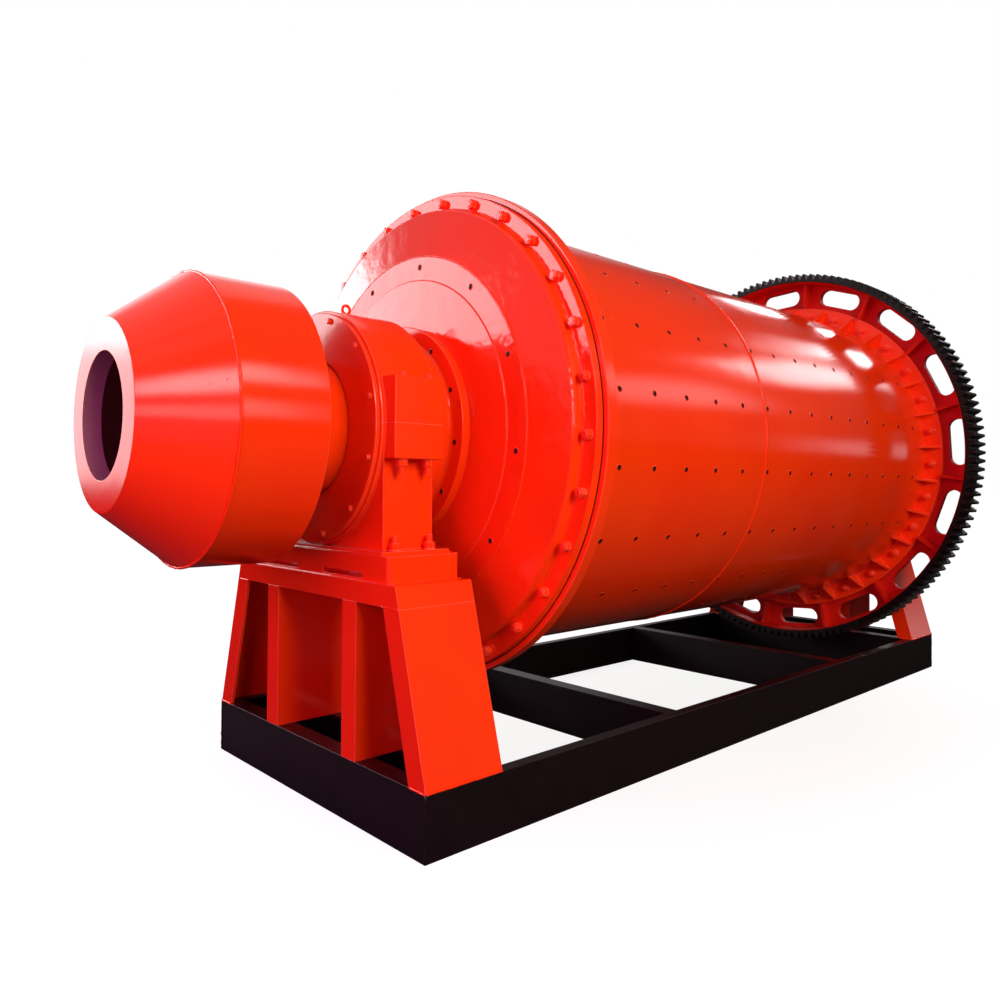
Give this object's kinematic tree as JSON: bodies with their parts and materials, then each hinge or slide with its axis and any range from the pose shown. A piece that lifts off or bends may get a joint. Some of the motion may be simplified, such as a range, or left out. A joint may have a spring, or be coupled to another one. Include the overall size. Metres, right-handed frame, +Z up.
{
  "type": "ball mill",
  "caption": "Ball mill: a flanged steel drum on hollow trunnions and split bearings, with a drum feeder, a girth gear, fabricated stands and a channel base frame.",
  "frame": {"origin": "on the floor under the middle of the machine's bounding box", "axes": "+X along the mill axis from feed end to discharge end, +Z up"},
  "size_m": [5.0068, 2.496, 2.6719],
  "materials": {
    "red_enamel": "glossy orange-red enamel",
    "frame_paint": "black semi-gloss paint",
    "gear_steel": "greased dark cast steel teeth, painted web"
  },
  "bodies": {
    "base": {"discharge_bearing_cap": "red_enamel", "discharge_bearing_housing": "red_enamel", "discharge_cross_beam": "frame_paint", "discharge_end_beam": "frame_paint", "discharge_inner_cover": "red_enamel", "discharge_lifting_eye": "red_enamel", "discharge_outer_cover": "red_enamel", "discharge_sole_plate": "red_enamel", "discharge_stand_beam": "frame_paint", "discharge_stand_far_leg": "red_enamel", "discharge_stand_far_post": "red_enamel", "discharge_stand_head": "red_enamel", "discharge_stand_near_leg": "red_enamel", "discharge_stand_near_post": "red_enamel", "far_long_girder": "frame_paint", "feed_bearing_cap": "red_enamel", "feed_bearing_housing": "red_enamel", "feed_cross_beam": "frame_paint", "feed_end_beam": "frame_paint", "feed_inner_cover": "red_enamel", "feed_lifting_eye": "red_enamel", "feed_outer_cover": "red_enamel", "feed_sole_plate": "red_enamel", "feed_stand_beam": "frame_paint", "feed_stand_far_leg": "red_enamel", "feed_stand_far_post": "red_enamel", "feed_stand_head": "red_enamel", "feed_stand_near_leg": "red_enamel", "feed_stand_near_post": "red_enamel", "near_long_girder": "frame_paint"},
    "drum": {"shell_feed_section": "red_enamel", "shell_discharge_section": "red_enamel", "feed_shell_flange": "red_enamel", "feed_head": "red_enamel", "discharge_head": "red_enamel", "feed_trunnion": "red_enamel", "discharge_trunnion": "red_enamel", "girth_flange": "red_enamel", "girth_gear": "gear_steel", "feeder_cone": "red_enamel", "feeder_barrel": "red_enamel", "feeder_back_plate": "red_enamel", "feed_neck": "red_enamel", "discharge_neck": "red_enamel"}
  },
  "joints": [
    {"name": "drum_spin", "type": "hinge", "parent": "base", "child": "drum", "pos_m": [0, 0, 1.424], "axis": [1, 0, 0], "continuous": true}
  ]
}
